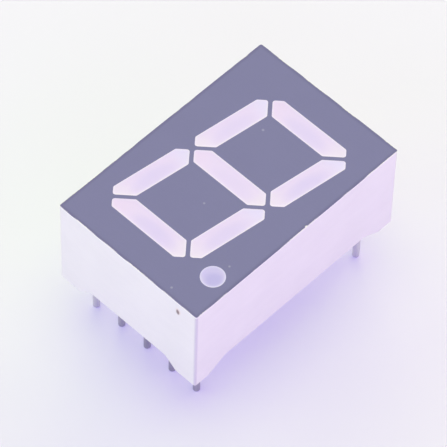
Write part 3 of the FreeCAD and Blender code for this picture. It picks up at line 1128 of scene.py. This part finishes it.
def resin_hollows():
    low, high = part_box("circuit_board")
    corners = [Vector((x, y, low.z)) for x in (low.x, high.x) for y in (low.y, high.y)]
    hollows = [hull_of(raised(corners, high.z + past_board), "board_hollow")]
    for node in tip_leans:
        pin_low, pin_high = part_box(node)
        middle_y = (pin_high.y + pin_low.y) / 2
        stop = points_between(node, seat_z + stop_clear, low.z)
        outline = [point for point in stop if abs(point.y - middle_y) < stop_half_length]
        hollows.append(hull_of(raised(outline, low.z + past_face), "stop_hollow"))
    ends = points_between("housing", low.z - post_low, low.z - post_high)
    for side in (-1, 1):
        post = [point for point in ends if point.x * side > 0 and abs(point.y) < posts_reach]
        hollows.append(hull_of(raised(post, low.z + past_face), "post_hollow"))
    return hollows


hollows = resin_hollows()
print("hollows", len(hollows))

# %% [markdown]
# A Boolean modifier for each hollow cuts it out. The exact solver is used, because it keeps the result
# closed where many small faces meet. The result is read back as a mesh, and the block and its cutters are
# deleted.

# %% Cut the board, the stops and the posts out of the resin
sliver_gap = 0.002 * mm


def poured_back():
    cutters = []
    for mesh in hollows:
        cutters.append(added(mesh.name, mesh))
        cut = block.modifiers.new("cut", "BOOLEAN")
        cut.operation = "DIFFERENCE"
        cut.solver = "EXACT"
        cut.object = cutters[-1]
    graph = bpy.context.evaluated_depsgraph_get()
    work = bmesh.new()
    work.from_mesh(block.evaluated_get(graph).to_mesh())
    for used in [block] + cutters:
        bpy.data.objects.remove(used)
    bmesh.ops.remove_doubles(work, verts=work.verts[:], dist=sliver_gap)
    bmesh.ops.triangulate(work, faces=work.faces[:])
    print("open edges in the poured resin", sum(len(edge.link_faces) != 2 for edge in work.edges))
    return set_piece(work, "potting_resin", sharp_deg=50)


poured = poured_back()
print(poured.name, "faces", len(poured.data.polygons))

# %% [markdown]
# ## Rings joined to a solid
# The chips, their wires and the solder are small, and each is a stack of rings with skin between them. So
# one function joins rings that have as many points. Capped at both ends they make a rod, and run back to
# the first ring they make a washer.

# %% Join rings
def joined_rings(rings_of_points, node, is_washer=False, sharp_deg=40):
    work = bmesh.new()
    loops = [[work.verts.new(point) for point in ring] for ring in rings_of_points]
    pairs = list(zip(loops, loops[1:]))
    if is_washer:
        pairs.append((loops[-1], loops[0]))
    for first, second in pairs:
        for i in range(len(first)):
            work.faces.new((first[i - 1], first[i], second[i], second[i - 1]))
    if not is_washer:
        work.faces.new(loops[0])
        work.faces.new(loops[-1])
    bmesh.ops.recalc_face_normals(work, faces=work.faces[:])
    return set_piece(work, node, sharp_deg)


def around(middle, radius, z, count, first_angle=0.0):
    """A ring of points round an upright axis."""
    ring = []
    for i in range(count):
        turn = first_angle + 2 * math.pi * i / count
        ring.append(Vector((middle.x + radius * math.cos(turn), middle.y + radius * math.sin(turn), z)))
    return ring


print("first point of a ring of four", in_mm(around(Vector((0, 0, 0)), 1 * mm, 0.0, 4)[0]), "mm")

# %% [markdown]
# ## The chips
# A chip isn't a plain cube. It is sawn from a wafer in two passes, a wide shallow cut and a narrow deep
# one, so its upper half is a little smaller than its lower half. A round gold pad on top takes the ball
# of the wire. The square rings have as many points as the round ones of the pad, so that they can be
# joined.

# %% The rings of a chip
chip_points = 16
# How far in each square ring lies in millimetres, and its share of the chip's height.
chip_levels = [(0.0, 0.0), (0.0, 0.55), (0.012, 0.60), (0.012, 0.96)]
# The radius of each round ring in millimetres, and its share of the chip's height.
pad_levels = [(0.062, 0.96), (0.058, 1.0)]


def chip_ring(corners, middle, inset, z):
    """Points along the chip's square outline, drawn in by an inset."""
    reach = max((corner - middle).length for corner in corners) / math.sqrt(2)
    ring = []
    for i, corner in enumerate(corners):
        for k in range(chip_points // 4):
            point = corner.lerp(corners[(i + 1) % 4], k * 4 / chip_points)
            point = middle + (point - middle) * (1 - inset / reach)
            ring.append(Vector((point.x, point.y, z)))
    return ring


print("rings in a chip", len(chip_levels) + len(pad_levels))

# %% [markdown]
# The corners of the square come from the node's own foot, sorted by their direction from the middle, so
# the chip stays turned as it is in the model.

# %% Dice the chips
foot_band = 0.01 * mm


def turn_of(way):
    """The angle of a direction round the upright axis."""
    return math.atan2(way.y, way.x)


def diced_chip(node):
    low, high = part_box(node)
    middle = Vector(((low.x + high.x) / 2, (low.y + high.y) / 2, 0))
    foot = points_between(node, -math.inf, low.z + foot_band)
    places = {(round(point.x, 8), round(point.y, 8)) for point in foot}
    corners = sorted((Vector((x, y, 0)) for x, y in places), key=lambda corner: turn_of(corner - middle))
    first_angle = turn_of(corners[0] - middle)
    height = high.z - low.z
    stack = [chip_ring(corners, middle, inset * mm, low.z + share * height) for inset, share in chip_levels]
    for radius, share in pad_levels:
        stack.append(around(middle, radius * mm, low.z + share * height, chip_points, first_angle))
    return joined_rings(stack, node, sharp_deg=30)


chips = nodes_in("chip")
for node in chips:
    piece = diced_chip(node)
print("chips", len(chips), "faces each", len(piece.data.polygons))

# %% [markdown]
# ## The bond wires
# A bonding tool melts a ball on the end of a gold wire, presses it flat on the chip's pad, lifts, swings
# over and squashes the wire on to the copper. So the wire starts as a flat ball, rises in a loop and ends
# as a wide thin stitch. The loop is a cubic curve between the two, in the plane that they lie in.

# %% The wire's path
wire_points = 12
wire_radius = 0.014
# The radius and the height of each ring of the ball, in millimetres.
ball_levels = [(0.034, 0.0), (0.047, 0.006), (0.050, 0.015), (0.044, 0.025), (0.024, 0.030)]
stitch_length = 0.08
stitch_squash = 0.5
loop_steps = 18


def curve_point(ends, t):
    """A point of the cubic curve with these four control points."""
    weights = ((1 - t) ** 3, 3 * (1 - t) ** 2 * t, 3 * (1 - t) * t * t, t ** 3)
    return sum((end * weight for end, weight in zip(ends, weights)), Vector((0, 0)))


def wire_path(reach, drop):
    """Points of the wire's middle line as distance and height from the ball, in millimetres."""
    lift_off = Vector((0, 0.03))
    over_ball = Vector((-0.02, 0.30))
    swung_over = Vector((0.45 * reach, 0.24))
    touch_down = Vector((reach - stitch_length, 0.01 - drop))
    ends = [lift_off, over_ball, swung_over, touch_down]
    loop = [curve_point(ends, (i + 1) / loop_steps) for i in range(loop_steps)]
    stitch = [Vector((reach - 0.03, 0.008 - drop)), Vector((reach, 0.007 - drop))]
    return [Vector((0, 0.032))] + loop + stitch


print("points in a wire's path", len(wire_path(1.0, 0.1)))

# %% [markdown]
# A ring stands square to the path at each of its points. The last two are squashed: half as thick and
# half as wide again, which is what the tool's edge does to the wire.

# %% Loop the wires
def wire_ring(centre, side_way, outward, squash):
    ring = []
    for k in range(wire_points):
        turn = 2 * math.pi * k / wire_points
        reach_side, reach_out = math.cos(turn) * (2 - squash), math.sin(turn) * squash
        ring.append(centre + (side_way * reach_side + outward * reach_out) * wire_radius * mm)
    return ring


def looped_wire(node):
    low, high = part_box(node.replace("bond_wire", "led_chip"))
    start = Vector(((low.x + high.x) / 2, (low.y + high.y) / 2, high.z))
    wire_low, wire_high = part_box(node)
    toward = (wire_low + wire_high) / 2 - start
    toward.z = 0
    toward.normalize()
    side_way = Vector((-toward.y, toward.x, 0))
    reach = max((vert.co - start).dot(toward) for vert in frame["nodes"][node].data.vertices) / mm
    path = wire_path(reach, (start.z - wire_low.z) / mm)
    first_angle = turn_of(side_way)
    stack = []
    for radius, rise in ball_levels:
        stack.append(around(start, radius * mm, start.z + rise * mm, wire_points, first_angle))
    for i, point in enumerate(path):
        before, after = path[max(i - 1, 0)], path[min(i + 1, len(path) - 1)]
        heading = (after - before).normalized() if i else Vector((0, 1))
        outward = -toward * heading.y + Vector((0, 0, heading.x))
        centre = start + (toward * point.x + Vector((0, 0, point.y))) * mm
        squash = stitch_squash if i >= len(path) - 2 else 1.0
        stack.append(wire_ring(centre, side_way, outward, squash))
    return joined_rings(stack, node, sharp_deg=60)


wires = nodes_in("bond_wire")
for node in wires:
    piece = looped_wire(node)
print("wires", len(wires), "faces each", len(piece.data.polygons))

# %% [markdown]
# ## The solder
# Molten solder wets both the pad and the pin, so it pulls itself into a fillet: steep at the pin, almost
# flat at the pad's edge. A ring of a hollow profile turned round the pin gives that. The pin's tail is
# drawn with eight flats, and the bore follows them, so the two meet without a gap.

# %% Flow the solder
solder_points = 24
tail_radius = pin_radius * mm
tail_flats = 8
flat_turn = 2 * math.pi / tail_flats
half_step = math.pi / solder_points
# Each ring's share of the pad's radius, and its share of the joint's height.
fillet_levels = [(1.0, 0.0), (0.93, 0.05), (0.85, 0.16), (0.795, 0.36)]
fillet_levels += [(0.76, 0.64), (0.74, 0.93), (0.715, 1.0)]


def bore_ring(middle, z):
    """A ring of points on the eight flats of the pin's tail."""
    ring = []
    for point in around(Vector((0, 0, 0)), 1.0, 0.0, solder_points, half_step):
        turn = turn_of(point) % flat_turn
        off_flat = min(turn, flat_turn - turn)
        radius = tail_radius * math.cos(flat_turn / 2) / math.cos(off_flat)
        ring.append(Vector((middle.x, middle.y, z)) + point * radius)
    return ring


def flowed_solder(node):
    low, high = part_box(node)
    middle = (low + high) / 2
    foot, height = (high.x - low.x) / 2, high.z - low.z
    stack = []
    for share, rise in fillet_levels:
        stack.append(around(middle, foot * share, low.z + height * rise, solder_points, half_step))
    stack += [bore_ring(middle, high.z), bore_ring(middle, low.z)]
    return joined_rings(stack, node, is_washer=True)


solder_joints = nodes_in("solder")
for node in solder_joints:
    piece = flowed_solder(node)
print("solder joints", len(solder_joints), "faces each", len(piece.data.polygons))

# %% [markdown]
# ## The last look at the size
# A dressed model is only useful if it is still the size of the part. Both boxes are written down, the one
# from before the dressing and the one from after it.

# %% Print the size after the dressing
dressed_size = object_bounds()
print("box now in mm", [in_mm(corner) for corner in dressed_size])
